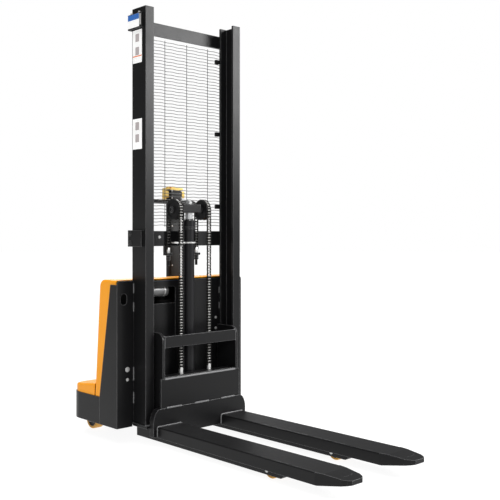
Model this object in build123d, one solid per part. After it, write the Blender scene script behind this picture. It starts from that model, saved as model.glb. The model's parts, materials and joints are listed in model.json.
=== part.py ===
"""Walkie stacker: single-stage mast, straddle legs under box forks, offset tiller, low drive ledge.

Millimetres, +Z up, +X towards the operator's left, -Y towards the fork tips. Every sub-part is laid
out from the mast's front face (y = 0) and the floor (z = 0), then moved by frame_shift on saving, so
that the origin is on the floor in the middle of the footprint.
"""

from build123d import *
import math
import os

# driving dimensions
mast_width = 606
mast_depth = 108
mast_foot = 95
mast_top = 2080
flange_width = 48
flange_thick = 12
web_thick = 8
bar_thick = 14
cheek_thick = 12
top_crossbar_band = (1977, 2040)
top_cheek_band = (1979, 2052)
top_cheek_reach = (20, 128)
mid_crossbar_band = (940, 1015)
mid_cheek_band = (939, 1018)
mid_cheek_reach = (20, 128)
guard_half = 283
guard_wire = 3
guard_rows = 58
guard_pitch = 16
guard_first_z = 1044
guard_band = (1036, 1964)
guard_upright_x = (-240, -100, 40, 180)

fork_length = 1138
fork_width = 145
fork_overall = 545
fork_top = 93
fork_edge = 42.5
fork_wall = 6
heel_front = -50
heel_back = -20
heel_half = 294
heel_top = 174
heel_bottom = 46

plate_inner = 228
plate_outer = 240
plate_top = 529
plate_bottom = 105
plate_rear = 95
lower_plate_back = -40
lower_plate_top = 314
top_bar_low = 459
top_bar_high = 513
beam_low = 258
beam_high = 318
beam_rear = 15

roller_radius = 41
roller_heights = {"lower": 150, "upper": 470}
roller_span = (258, 286)
roller_pin_radius = 15
roller_y = mast_depth / 2

cylinder_y = 50
barrel_radius = 28
barrel_bore = 22
barrel_top = 1035
hose_port_z = 150
collar_band = (953.5, 960.5)
collar_radius = 34
gland_top = 1068
gland_radius = 30
ram_radius = 18
crosshead_low = 1106
crosshead_high = 1149
crosshead_half = 55
pulley_x = 90
pulley_half = 15
pulley_dish_radius = 38
pulley_collar_radius = 15
axle_inner = 48
pulley_z = 1120
pulley_flange_radius = 50
pulley_groove_radius = 44
chain_width = 20
chain_inner = 44.3
chain_outer = 56
front_anchor_z = 345
rear_anchor_z = 932
rear_lug_band = (893, 905)
axle_radius = 10
anchor_radius = 7
anchor_clearance = 0.1
rear_anchor_y = 100
guide_rod_x = -37
guide_rod_radius = 7
guide_rod_top = 1126

leg_x = (fork_overall - fork_width) / 2
leg_width = 120
leg_front = -860
leg_top = 82
leg_bottom = 22
leg_wall = 8
base_plate_half = 310
load_wheel_y = -764
load_wheel_radius = 40
load_wheel_width = 70

chassis_width = 800
chassis_rear = 528
corner_radius = 100
sheet = 4
skirt_low = 77
skirt_high = 208
panel_front = 96
panel_top = 775
panel_side_top = 758
panel_edge_top_y = 152
panel_edge_low_y = 246
floor_low = 130
floor_high = 136
cover_front = 112.5
cover_top = 780
cover_top_rear = 252.6
cover_low_rear = 297.2
ledge_front_z = 268
ledge_rear_z = 240
control_z = 690
estop_x = -70
key_x = -150
window_x = (-225, -40)
window_band = (470, 738)

steer_x = 170
steer_y = 390
drive_wheel_radius = 90
drive_wheel_width = 75
bearing_low = 194
bearing_high = 208
journal_radius = 70
motor_low = 217
tiller_pivot_z = 440
grip_z = 1174
head_low = 1188
head_high = 1242
head_half = 42
head_front = 362
head_split = 398
head_rear = 436
handle_radius = 11
handle_reach = 165
handle_drop = 62
handle_bend = 38
throttle_y = 386
throttle_z = 1215
throttle_shaft = 4
horn_dx = -28
horn_y = 378
rocker_y = 430
rocker_z = 1218
rocker_half = 14.5

caster_x = -275
caster_y = 437.5
caster_trail = 35
caster_wheel_radius = 50

fit = 0.05
frame_shift = -(heel_front - fork_length + chassis_rear) / 2


def block(x0, x1, y0, y1, z0, z1):
    return Pos((x0 + x1) / 2, (y0 + y1) / 2, (z0 + z1) / 2) * Box(abs(x1 - x0), abs(y1 - y0), abs(z1 - z0))


def rod_x(x0, x1, y, z, radius):
    return Pos((x0 + x1) / 2, y, z) * Rot(0, 90, 0) * Cylinder(radius, abs(x1 - x0))


def rod_y(y0, y1, x, z, radius):
    return Pos(x, (y0 + y1) / 2, z) * Rot(90, 0, 0) * Cylinder(radius, abs(y1 - y0))


def rod_z(z0, z1, x, y, radius):
    return Pos(x, y, (z0 + z1) / 2) * Cylinder(radius, abs(z1 - z0))


def side_prism(points, x0, x1):
    """Outline in (y, z), extruded from x0 to x1."""
    face = make_face(Polyline(*[(0, y, z) for y, z in points], close=True))
    return Pos(x0, 0, 0) * extrude(face, amount=x1 - x0, dir=(1, 0, 0))


def front_prism(points, y0, y1):
    """Outline in (x, z), extruded from y0 to y1."""
    face = make_face(Polyline(*[(x, 0, z) for x, z in points], close=True))
    return Pos(0, y0, 0) * extrude(face, amount=y1 - y0, dir=(0, 1, 0))


def plan_prism(points, z0, z1):
    """Outline in (x, y), extruded from z0 to z1."""
    face = make_face(Polyline(*[(x, y, 0) for x, y in points], close=True))
    return Pos(0, 0, z0) * extrude(face, amount=z1 - z0, dir=(0, 0, 1))


def hex_z(z0, z1, x, y, across):
    return Pos(x, y, z0) * extrude(RegularPolygon(across / math.sqrt(3), 6), z1 - z0)


def hex_y(y0, y1, x, z, across):
    prism = extrude(RegularPolygon(across / math.sqrt(3), 6), y1 - y0)
    return Pos(x, y0, z) * Rot(-90, 0, 0) * prism


def mirrored(shape):
    return mirror(shape, about=Plane.YZ)


def both_sides(shape):
    return [mirrored(shape), shape]


def edges_along(shape, axis, low=None, high=None, by=None):
    chosen = shape.edges().filter_by(axis)
    if by is not None:
        chosen = [edge for edge in chosen if low <= getattr(edge.center(), by) <= high]
    return chosen


def save(name, *shapes):
    solids = [solid for shape in shapes for solid in shape.solids()]
    moved = [Pos(0, frame_shift, 0) * solid for solid in solids]
    group = moved[0] if len(moved) == 1 else Compound(children=moved)
    export_step(group, f"parts/{name}.step")


# mast


def mast_upright():
    outer = mast_width / 2
    inner = outer - flange_width
    outline = [
        (outer, 0), (outer, mast_depth), (inner, mast_depth), (inner, mast_depth - flange_thick),
        (outer - web_thick, mast_depth - flange_thick), (outer - web_thick, flange_thick),
        (inner, flange_thick), (inner, 0),
    ]
    return plan_prism(outline, mast_foot, mast_top)


def mast_crossbar(band, cheek_band, cheek_reach):
    outer = mast_width / 2
    half = outer + cheek_thick
    bar = block(-half, half, mast_depth, mast_depth + bar_thick, *band)
    for side in both_sides(block(outer, half, *cheek_reach, *cheek_band)):
        bar += side
    return bar


def mast_top_bar():
    return mast_crossbar(top_crossbar_band, top_cheek_band, top_cheek_reach)


def mast_mid_bar():
    bar = mast_crossbar(mid_crossbar_band, mid_cheek_band, mid_cheek_reach)
    lug = block(pulley_x - 16, pulley_x + 16, rear_anchor_y - 14, mast_depth, *rear_lug_band)
    lug += block(pulley_x - 16, pulley_x + 16, mast_depth, mast_depth + bar_thick, rear_lug_band[0],
                 mid_crossbar_band[0])
    hole = rod_z(*rear_lug_band, pulley_x, rear_anchor_y, anchor_radius + anchor_clearance)
    for side in both_sides(lug - hole):
        bar += side
    return bar


def chain_anchor(y, shank_low, plate_low, plate_high, eye_high):
    """Threaded anchor: two nuts under the plate it hangs from, and an eye block above it."""
    shank = rod_z(shank_low, plate_high + 2, pulley_x, y, anchor_radius)
    eye_low = plate_high + anchor_clearance
    eye = block(pulley_x - 8, pulley_x + 8, y - 5.5, y + 5.5, eye_low, eye_high)
    lock_nut = hex_z(plate_low - 22, plate_low - 12, pulley_x, y, 21)
    return shank + eye + lock_nut + hex_z(plate_low - 11, plate_low - anchor_clearance, pulley_x, y, 21)


def rear_chain_anchor():
    return chain_anchor(rear_anchor_y, rear_lug_band[0] - 52, *rear_lug_band, rear_anchor_z)


def guard_mesh():
    front = mast_depth + 4
    thick = guard_wire / 2
    heights = [guard_first_z + guard_pitch * row for row in range(guard_rows)]
    rows = [
        block(-guard_half, guard_half, front, front + guard_wire, z - thick, z + thick) for z in heights
    ]
    uprights = [block(x - thick, x + thick, front + 2, front + 5, *guard_band) for x in guard_upright_x]
    rim = guard_half - 3
    edges = [block(x - 3, x + 3, front + 2, front + 6, *guard_band) for x in (-rim, rim)]
    return rows[0].fuse(*rows[1:], *uprights, *edges)


# lift cylinder and chain gear


def lift_barrel():
    tube = rod_z(mast_foot, barrel_top, 0, cylinder_y, barrel_radius)
    tube -= rod_z(mast_foot + 20, barrel_top, 0, cylinder_y, barrel_bore)
    port = rod_y(cylinder_y + 20, cylinder_y + 42, 0, hose_port_z, 11)
    port -= rod_y(cylinder_y + 10, cylinder_y + 42, 0, hose_port_z, 5)
    port -= rod_z(hose_port_z - 50, hose_port_z + 50, 0, cylinder_y, barrel_bore)
    return tube + port


def lift_gland():
    ring = rod_z(barrel_top, gland_top, 0, cylinder_y, gland_radius)
    ring += rod_z(barrel_top - 24, barrel_top, 0, cylinder_y, barrel_bore - fit)
    ring -= rod_z(barrel_top - 24, gland_top, 0, cylinder_y, ram_radius + fit)
    return ring


def barrel_collar():
    ring = rod_z(*collar_band, 0, cylinder_y, collar_radius)
    ring += block(-100, -20, cylinder_y - 12, cylinder_y + 12, *collar_band)
    ring += block(-18, 18, cylinder_y + 20, mast_depth, *collar_band)
    ring -= rod_z(*collar_band, 0, cylinder_y, barrel_radius + fit)
    return ring - rod_z(*collar_band, guide_rod_x, cylinder_y, guide_rod_radius + 0.3)


def lift_ram():
    piston_low = mast_foot + 35
    ram = rod_z(piston_low, crosshead_low, 0, cylinder_y, ram_radius)
    ram += rod_z(piston_low, piston_low + 30, 0, cylinder_y, barrel_bore - 0.08)
    ram += rod_z(crosshead_low, crosshead_high + 24, 0, cylinder_y, axle_radius)
    nut_top = crosshead_high + 15
    nut = hex_z(crosshead_high, nut_top, 0, cylinder_y, 30)
    return ram, nut - rod_z(crosshead_high, nut_top, 0, cylinder_y, axle_radius + fit)


def crosshead():
    body = block(-crosshead_half, crosshead_half, 22, 78, crosshead_low, crosshead_high)
    body = fillet(edges_along(body, Axis.X), 4)
    body -= rod_z(crosshead_low, crosshead_high, 0, cylinder_y, axle_radius + fit)
    body -= rod_z(crosshead_low, guide_rod_top, guide_rod_x, cylinder_y, guide_rod_radius + fit)
    for side in both_sides(rod_x(axle_inner, crosshead_half, cylinder_y, pulley_z, axle_radius + fit)):
        body -= side
    return body


def pulley_axle():
    inner, outer = pulley_x - pulley_half - 0.5, pulley_x + pulley_half + 0.5
    axle = rod_x(axle_inner, outer, cylinder_y, pulley_z, axle_radius)
    axle += rod_x(crosshead_half, inner, cylinder_y, pulley_z, pulley_collar_radius)
    return axle + rod_x(outer, outer + 4.5, cylinder_y, pulley_z, pulley_collar_radius)


def chain_pulley():
    inner, outer = pulley_x - pulley_half, pulley_x + pulley_half
    wheel = rod_x(inner, outer, cylinder_y, pulley_z, pulley_flange_radius)
    groove = rod_x(inner + 4, outer - 4, cylinder_y, pulley_z, pulley_flange_radius + 10)
    wheel -= groove - rod_x(inner + 4, outer - 4, cylinder_y, pulley_z, pulley_groove_radius)
    dish = rod_x(inner - 1, inner + 3, cylinder_y, pulley_z, pulley_dish_radius)
    dish += rod_x(outer - 3, outer + 1, cylinder_y, pulley_z, pulley_dish_radius)
    wheel -= dish - rod_x(inner - 1, outer + 1, cylinder_y, pulley_z, axle_radius * 2)
    return wheel - rod_x(inner, outer, cylinder_y, pulley_z, axle_radius + fit)


def guide_rod():
    return rod_z(mast_foot + 95, guide_rod_top, guide_rod_x, cylinder_y, guide_rod_radius)


def lift_chain():
    low, high = pulley_x - chain_width / 2, pulley_x + chain_width / 2
    wrap = rod_x(low, high, cylinder_y, pulley_z, chain_outer)
    wrap -= rod_x(low, high, cylinder_y, pulley_z, chain_inner)
    wrap -= block(low, high, cylinder_y - 70, cylinder_y + 70, pulley_z - 70, pulley_z)
    front = block(low, high, cylinder_y - chain_outer, cylinder_y - chain_inner, front_anchor_z, pulley_z)
    rear = block(low, high, cylinder_y + chain_inner, cylinder_y + chain_outer, rear_anchor_z, pulley_z)
    return wrap + front + rear


# carriage and forks


def carriage_side_plate():
    corner = 40
    steps = 8
    arc = [
        (heel_front + corner - corner * math.cos(turn), plate_top - corner + corner * math.sin(turn))
        for turn in (math.pi / 2 * step / steps for step in range(steps + 1))
    ]
    outline = [
        (heel_back, plate_bottom), (heel_back, heel_top), (lower_plate_back, heel_top),
        (lower_plate_back, lower_plate_top), (heel_front, lower_plate_top), *arc,
        (plate_rear, plate_top), (plate_rear, plate_bottom),
    ]
    plate = side_prism(outline, plate_inner, plate_outer)
    for height in roller_heights.values():
        plate += rod_x(plate_outer - 2, roller_span[0] - 0.5, roller_y, height, roller_pin_radius + 6)
        plate += rod_x(plate_outer - 2, roller_span[1] + 3, roller_y, height, roller_pin_radius)
    return plate


def guide_roller(height):
    roller = rod_x(*roller_span, roller_y, height, roller_radius)
    roller = fillet(roller.edges().filter_by(GeomType.CIRCLE), 2.5)
    return roller - rod_x(*roller_span, roller_y, height, roller_pin_radius + fit)


def carriage_crossbars():
    top = block(-plate_inner, plate_inner, heel_front, heel_front + 12, top_bar_low, top_bar_high)
    beam = block(-plate_inner, plate_inner, lower_plate_back, beam_rear, beam_low, beam_high)
    for side in both_sides(rod_z(beam_low, beam_high, pulley_x, 0, anchor_radius + anchor_clearance)):
        beam -= side
    return top, beam


def carriage_lower_plate():
    plate = block(-250, 250, heel_front, lower_plate_back, heel_top, lower_plate_top)
    return fillet(edges_along(plate, Axis.X, lower_plate_top - 1, lower_plate_top + 1, "Z"), 4)


def heel_plate():
    shoulder, drop, steps = 255, 108, 10
    run, fall = heel_half - shoulder, heel_top - drop
    curve = [
        (shoulder + run * math.sin(turn), drop + fall * math.cos(turn))
        for turn in (math.pi / 2 * step / steps for step in range(steps + 1))
    ]
    right = [(x, z) for x, z in curve] + [(heel_half, heel_bottom)]
    left = [(-x, z) for x, z in reversed(right)]
    plate = front_prism(right + left, heel_front, heel_back)
    for notch in both_sides(block(leg_x - 66, leg_x + 66, -60, 0, 0, 88)):
        plate -= notch
    return plate


def front_chain_anchor():
    return chain_anchor(0, beam_low - 36, beam_low, beam_high, front_anchor_z)


def fork_outline(inset, nose_end):
    """Half-plan of a fork's taper: parallel to the start of the nose, then drawn in to a blunt tip."""
    half = fork_width / 2 - inset
    nose = 44 - inset
    start = heel_front - fork_length + 150
    return [(-half, start), (-nose - 12, nose_end + 34), (-nose, nose_end + 12), (-nose + 14, nose_end),
            (nose - 14, nose_end), (nose, nose_end + 12), (nose + 12, nose_end + 34), (half, start)]


def fork():
    tip = heel_front - fork_length
    half = fork_width / 2
    plan = plan_prism([(half, heel_front), (-half, heel_front), *fork_outline(0, tip)], 0, fork_top)
    profile = [
        (heel_front, fork_edge), (heel_front, fork_top), (tip + 110, fork_top), (tip, fork_top - 9),
        (tip, fork_top - 27), (tip + 140, fork_edge),
    ]
    body = plan & side_prism(profile, -half, half)
    body = fillet(edges_along(body, Axis.Y, fork_top - 1, fork_top + 1, "Z"), 6)
    inner = half - fork_wall
    hollow = plan_prism(
        [(inner, heel_front + 1), (-inner, heel_front + 1), *fork_outline(fork_wall, tip + 46)],
        fork_edge - 1, fork_top - fork_wall,
    )
    return Pos(leg_x, 0, 0) * (body - hollow)


# chassis


def support_leg():
    half = leg_width / 2
    leg = block(leg_x - half, leg_x + half, leg_front, 130, leg_bottom, leg_top)
    leg = fillet(edges_along(leg, Axis.X, leg_front - 1, leg_front + 1, "Y"), 18)
    inner = half - leg_wall
    leg -= block(leg_x - inner, leg_x + inner, leg_front + leg_wall, 140, 0, leg_top - 6)
    slot = load_wheel_radius + 8
    leg -= block(leg_x - 39, leg_x + 39, load_wheel_y - slot, load_wheel_y + slot, 0, leg_top + 1)
    return leg - rod_x(100, 300, load_wheel_y, load_wheel_radius, axle_radius + fit)


def rounded_plan(half, front, rear, radius, z0, z1):
    slab = block(-half, half, front, rear, z0, z1)
    return fillet(edges_along(slab, Axis.Z, rear - 1, rear + 1, "Y"), radius)


def base_frame():
    gap = 0.5
    frame = block(-base_plate_half, base_plate_half, -15, 94, leg_top, mast_foot)
    frame += block(-302, 302, 90, 130, leg_top, mast_foot)
    for leg in both_sides(support_leg()):
        frame += leg
    half = chassis_width / 2 - sheet - gap
    rear = chassis_rear - sheet - gap
    floor = rounded_plan(half, cover_front, rear, corner_radius - sheet - gap, floor_low, floor_high)
    floor -= rod_z(floor_low, floor_high, steer_x, steer_y, 128)
    floor -= rod_z(floor_low, floor_high, caster_x, caster_y, 8 + fit)
    frame += floor + block(-302, 302, cover_front, 118.5, mast_foot, floor_high)
    tower = rod_z(floor_low, bearing_low, steer_x, steer_y, 132)
    tower -= rod_z(floor_low, bearing_low - 8, steer_x, steer_y, 128)
    tower -= rod_z(floor_low, bearing_low, steer_x, steer_y, 84)
    frame += tower
    return frame - rod_y(mast_depth - 8, cover_front + 8, 0, hose_port_z, 12)


def side_panel():
    outer = chassis_width / 2
    inner = mast_width / 2
    wing = block(inner, outer, panel_front, panel_front + sheet, mast_foot, panel_top)
    wing += block(base_plate_half + 1, outer, panel_front, panel_front + sheet, skirt_low, mast_foot)
    corner = [edge for edge in edges_along(wing, Axis.Y)
              if edge.center().X > outer - 1 and edge.center().Z > panel_top - 1]
    wing = fillet(corner, panel_top - panel_side_top)
    slot = SlotOverall(55, 36, rotation=90)
    wing -= Pos(361, panel_front - 1, 688.5) * Rot(-90, 0, 0) * extrude(slot, sheet + 2)
    outline = [
        (panel_front, skirt_low), (panel_front, panel_side_top), (panel_edge_top_y, panel_side_top),
        (panel_edge_low_y, skirt_high - 4), (panel_edge_low_y, skirt_low),
    ]
    return wing + side_prism(outline, outer - sheet, outer)


def bulkhead():
    half = mast_width / 2 - 1
    wall = block(-half, half, mast_depth, mast_depth + 4, mast_foot, 770)
    window = block(*window_x, mast_depth, mast_depth + 4, *window_band)
    window = fillet(edges_along(window, Axis.Y), 12)
    return wall - window - rod_y(mast_depth, mast_depth + 4, 0, hose_port_z, 12)


def base_skirt():
    half = chassis_width / 2
    wall = rounded_plan(half, panel_edge_low_y, chassis_rear, corner_radius, skirt_low, skirt_high)
    return wall - rounded_plan(
        half - sheet, panel_edge_low_y, chassis_rear - sheet, corner_radius - sheet, skirt_low, skirt_high
    )


def cover_block(inset):
    half = chassis_width / 2 - sheet - 0.5 - inset
    front = cover_front
    low = skirt_high + 0.3
    top = cover_top - inset
    lean = (cover_low_rear - cover_top_rear) / (cover_top - skirt_high)
    rear_low = cover_low_rear - inset
    outline = [(front, low), (front, top), (rear_low - lean * (top - low), top), (rear_low, low)]
    body = side_prism(outline, -half, half)
    rear_edge = [edge for edge in edges_along(body, Axis.X) if edge.center().Z > top - 1 and
                 edge.center().Y > front + 50]
    body = fillet(rear_edge, 36 - inset)
    ends = [edge for edge in body.edges() if abs(abs(edge.center().X) - half) < 0.5 and
            (edge.center().Z > top - 50 or edge.center().Y > front + 50) and edge.center().Z > low + 1]
    return fillet(ends, 14 - inset)


def main_cover():
    shell = cover_block(0) - cover_block(sheet)
    for x, radius in ((estop_x, 26), (key_x, 18)):
        rear = cover_rear_at(control_z)
        shell += rod_y(rear - 7, rear + 8, x, control_z, radius)
    shell -= rod_y(200, 300, estop_x, control_z, 10.3)
    return shell - rod_y(200, 300, key_x, control_z, 6.3)


def cover_rear_at(height):
    share = (cover_top - height) / (cover_top - skirt_high)
    return cover_top_rear + (cover_low_rear - cover_top_rear) * share


def estop_button():
    rear = cover_rear_at(control_z)
    cap = rod_y(rear + 15, rear + 30, estop_x, control_z, 20)
    cap = fillet(cap.edges().filter_by(GeomType.CIRCLE), 4)
    return cap + rod_y(rear - 12, rear + 16, estop_x, control_z, 10)


def key_switch():
    rear = cover_rear_at(control_z)
    bow = block(key_x - 2, key_x + 2, rear + 8.5, rear + 34, control_z - 12, control_z + 12)
    bow = fillet(edges_along(bow, Axis.X, rear + 33, rear + 35, "Y"), 8)
    return bow + rod_y(rear - 12, rear + 12, key_x, control_z, 6)


def ledge_block(inset):
    half = chassis_width / 2 - sheet - 0.5 - inset
    rear = chassis_rear - sheet - 0.5 - inset
    front = 250
    low = skirt_high + 0.3
    plan = rounded_plan(half, front, rear, corner_radius - sheet - inset, low, ledge_front_z)
    slope = (ledge_front_z - ledge_rear_z) / (rear - cover_low_rear)
    seam = cover_low_rear + 0.8
    lean = (cover_low_rear - cover_top_rear) / (cover_top - skirt_high)
    top_front = ledge_front_z - inset
    outline = [
        (seam, low), (seam - lean * (top_front - low), top_front),
        (rear + 10, top_front - slope * (rear + 10 - seam)), (rear + 10, low),
    ]
    return plan & side_prism(outline, -half, half)


def drive_cover():
    outer = ledge_block(0)
    brim = [edge for edge in outer.edges() if edge.center().Z > ledge_rear_z - 4 and
            edge.center().Y > cover_low_rear + 20]
    shell = fillet(brim, 10) - ledge_block(sheet)
    collar = rod_z(skirt_high + 30, 330, steer_x, steer_y, 92)
    collar = fillet(collar.edges().sort_by(Axis.Z)[-1], 3)
    shell += collar - ledge_block(sheet)
    return shell - rod_z(skirt_high, 340, steer_x, steer_y, 86)


# drive, tiller and caster


def ring_z(z0, z1, x, y, outer, inner):
    return rod_z(z0, z1, x, y, outer) - rod_z(z0, z1, x, y, inner)


def steering_bearing():
    return ring_z(bearing_low, bearing_high, steer_x, steer_y, 98, journal_radius)


def drive_gearbox():
    wheel_z = drive_wheel_radius
    under = bearing_low - 10
    body = rod_z(under - 4, bearing_high + 0.3, steer_x, steer_y, journal_radius - fit)
    body += rod_z(bearing_high + 0.3, motor_low, steer_x, steer_y, 84)
    side = block(steer_x - 92, steer_x - 41, steer_y - 48, steer_y + 48, wheel_z, under)
    side += rod_x(steer_x - 92, steer_x - 41, steer_y, wheel_z, 48)
    body += side & rod_z(0, 300, steer_x, steer_y, 104)
    return body + rod_x(steer_x - 60, steer_x + 40, steer_y, wheel_z, 15)


def drive_wheel():
    half = drive_wheel_width / 2
    wheel = rod_x(steer_x - half, steer_x + half, steer_y, drive_wheel_radius, drive_wheel_radius)
    wheel = fillet(wheel.edges().filter_by(GeomType.CIRCLE), 6)
    dish = rod_x(steer_x + 22, steer_x + 50, steer_y, drive_wheel_radius, 58)
    dish -= rod_x(steer_x + 22, steer_x + 50, steer_y, drive_wheel_radius, 26)
    return wheel - dish - rod_x(0, 300, steer_y, drive_wheel_radius, 15 + fit)


def drive_motor():
    can = rod_z(motor_low, 372, steer_x, steer_y, 58)
    return can + rod_z(372, 394, steer_x, steer_y, 46)


def steering_head():
    head = Part()
    for side in (-1, 1):
        inner, outer = steer_x + side * 62, steer_x + side * 70
        plate = block(inner, outer, steer_y - 28, steer_y + 28, motor_low, tiller_pivot_z)
        plate += rod_x(inner, outer, steer_y, tiller_pivot_z, 28)
        head += plate
    head += block(steer_x - 66, steer_x + 66, steer_y - 24, steer_y + 24, 406, 414)
    hole = rod_x(0, 400, steer_y, tiller_pivot_z, axle_radius + fit)
    pin = rod_x(steer_x - 76, steer_x + 76, steer_y, tiller_pivot_z, axle_radius)
    return head - hole, pin


def tiller_section(width, depth, height):
    return Plane((steer_x, steer_y, height)) * RectangleRounded(width, depth, 12)


def tiller_arm():
    column = loft(
        [tiller_section(80, 34, 474), tiller_section(84, 36, 560), tiller_section(84, 36, 800)],
        ruled=True,
    )
    column += loft(
        [tiller_section(84, 36, 800), tiller_section(82, 38, 930), tiller_section(80, 44, head_low)],
        ruled=True,
    )
    boss = rod_x(steer_x - 50, steer_x + 50, steer_y, tiller_pivot_z, 22)
    boss += block(steer_x - 50, steer_x + 50, steer_y - 22, steer_y + 22, tiller_pivot_z, 476)
    column += boss
    column -= rod_x(0, 400, steer_y, tiller_pivot_z, axle_radius + fit)
    return column - rod_x(0, 400, steer_y, grip_z, handle_radius + fit)


def handle_loop():
    right, left = steer_x - handle_reach, steer_x + handle_reach
    path = FilletPolyline(
        (right, steer_y, grip_z - handle_drop), (right, steer_y, grip_z),
        (left, steer_y, grip_z), (left, steer_y, grip_z - handle_drop), radius=handle_bend,
    )
    start = Plane(origin=path @ 0, z_dir=path % 0)
    return sweep(start * Circle(handle_radius), path=path)


def tiller_head():
    shell = block(steer_x - head_half, steer_x + head_half, head_front, head_split, head_low, head_high)
    shell = fillet(edges_along(shell, Axis.Z, head_front - 1, head_front + 1, "Y"), 9)
    inner = head_half - 4
    shell -= block(steer_x - inner, steer_x + inner, head_front + 6, head_split, head_low + 4, head_high)
    return shell - rod_x(steer_x - 60, steer_x + 60, throttle_y, throttle_z, throttle_shaft + 0.3)


def head_cap():
    top = head_high + 8
    lip = head_front + 2
    cap = block(steer_x - head_half, steer_x + head_half, head_split, head_rear, head_low, top)
    cap += block(steer_x - head_half, steer_x + head_half, lip, head_split, head_high, top)
    cap = fillet(edges_along(cap, Axis.X, head_rear - 6, head_rear + 4, "Y"), 8)
    cap = fillet(edges_along(cap, Axis.Z, lip - 1, lip + 1, "Y"), 7)
    inner = head_half - 4
    cap -= block(steer_x - inner, steer_x + inner, head_split, head_rear - 5, head_low + 4, head_high + 3)
    cap -= rod_z(head_high, top, steer_x + horn_dx, horn_y, 7.3)
    cap -= block(steer_x - 24, steer_x + 24, 404, 426, head_high, top)
    gap = rocker_half + 1.5
    return cap - block(steer_x - 12.5, steer_x + 12.5, 430, 437, rocker_z - gap, rocker_z + gap)


def throttle_wings():
    wings = rod_x(steer_x - 60, steer_x + 60, throttle_y, throttle_z, throttle_shaft)
    for side in (-1, 1):
        inner, outer = steer_x + side * 43, steer_x + side * 64
        paddle = block(inner, outer, throttle_y - 12, throttle_y + 12, throttle_z - 19, throttle_z + 19)
        wings += fillet(edges_along(paddle, Axis.X), 9)
    return wings


def belly_button():
    pad = block(steer_x - 23.5, steer_x + 23.5, 404.5, 425.5, head_high - 2, head_high + 18)
    return fillet([edge for edge in pad.edges() if edge.center().Z > head_high + 17], 4)


def horn_button():
    button = rod_z(head_high - 6, head_high + 12, steer_x + horn_dx, horn_y, 7)
    return fillet(button.edges().sort_by(Axis.Z)[-1], 2)


def lift_rocker():
    rocker = block(steer_x - 12, steer_x + 12, 427, 440, rocker_z - rocker_half, rocker_z + rocker_half)
    rocker = fillet([edge for edge in edges_along(rocker, Axis.X) if edge.center().Y > 439], 3)
    return rocker + rod_x(steer_x - 12, steer_x + 12, rocker_y, rocker_z, 6)


def caster_fork():
    crown = rod_z(106, 129.5, caster_x, caster_y, 37)
    stem = rod_z(120, 148, caster_x, caster_y, 8)
    fork_body = crown + stem
    axle_y = caster_y + caster_trail
    for side in (-1, 1):
        cheek = side_prism(
            [(caster_y - 20, 112), (caster_y + 28, 112), (axle_y + 14, caster_wheel_radius),
             (axle_y - 14, caster_wheel_radius - 6)],
            caster_x + side * 28, caster_x + side * 34,
        )
        cheek += rod_x(caster_x + side * 28, caster_x + side * 34, axle_y, caster_wheel_radius, 14)
        fork_body += cheek
    return fork_body + rod_x(caster_x - 30, caster_x + 30, axle_y, caster_wheel_radius, 6)


def plain_wheel(x, y, radius, width, bore, edge):
    wheel = rod_x(x - width / 2, x + width / 2, y, radius, radius)
    wheel = fillet(wheel.edges().filter_by(GeomType.CIRCLE), edge)
    return wheel - rod_x(x - width, x + width, y, radius, bore + fit)


# inner equipment


def battery_pack():
    cells = []
    for side in (-1, 1):
        case = block(side * 30, side * 270, 120, 256, floor_high, 340)
        case = fillet(edges_along(case, Axis.Z), 5)
        lid = block(side * 34, side * 266, 124, 252, 340, 348)
        posts = rod_z(348, 362, side * 60, 145, 8) + rod_z(348, 362, side * 240, 145, 8)
        cells.append(case + lid + posts)
    return cells


def power_pack():
    tank = fillet(edges_along(block(-255, -100, 150, 236, 420, 620), Axis.Z), 14)
    tank += rod_z(620, 636, -220, 190, 16)
    manifold = block(-99.5, -40, 160, 226, 430, 510)
    manifold += block(-78, -62, 132, 161, 440, 460)
    motor = rod_z(511, 668, -70, 186, 50) + rod_z(668, 684, -70, 186, 24)
    canister = rod_x(-215, -70, 146, 716, 28)
    canister += rod_x(-70, -62, 146, 716, 11)
    canister += block(-170, -150, 140, 152, 670, 692)
    return tank, manifold, motor, canister


def controller():
    base = block(60, 240, 116, 128, 430, 610)
    case = fillet(edges_along(block(66, 234, 127, 176, 436, 604), Axis.Z), 6)
    studs = [rod_z(604, 622, x, 152, 5) for x in (90, 120, 180, 210)]
    shell = base + case
    for stud in studs:
        shell += stud
    return shell


def lift_hose():
    path = FilletPolyline(
        (0, cylinder_y + 42, hose_port_z), (0, 187, hose_port_z), (0, 187, 390), (-70, 150, 400),
        (-70, 150, 440),
        radius=[42, 28, 17],
    )
    start = Plane(origin=path @ 0, z_dir=path % 0)
    return sweep(start * Circle(7), path=path)


def panel_bolts():
    places = [(-340, panel_front, 353), (-340, panel_front, 305), (-141, mast_depth, 985),
              (230, mast_depth, 563), (230, mast_depth, 507)]
    bolts = []
    for x, y, z in places:
        bolts.append(hex_y(y - 7.1, y - 0.1, x, z, 13))
    return bolts


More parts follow.
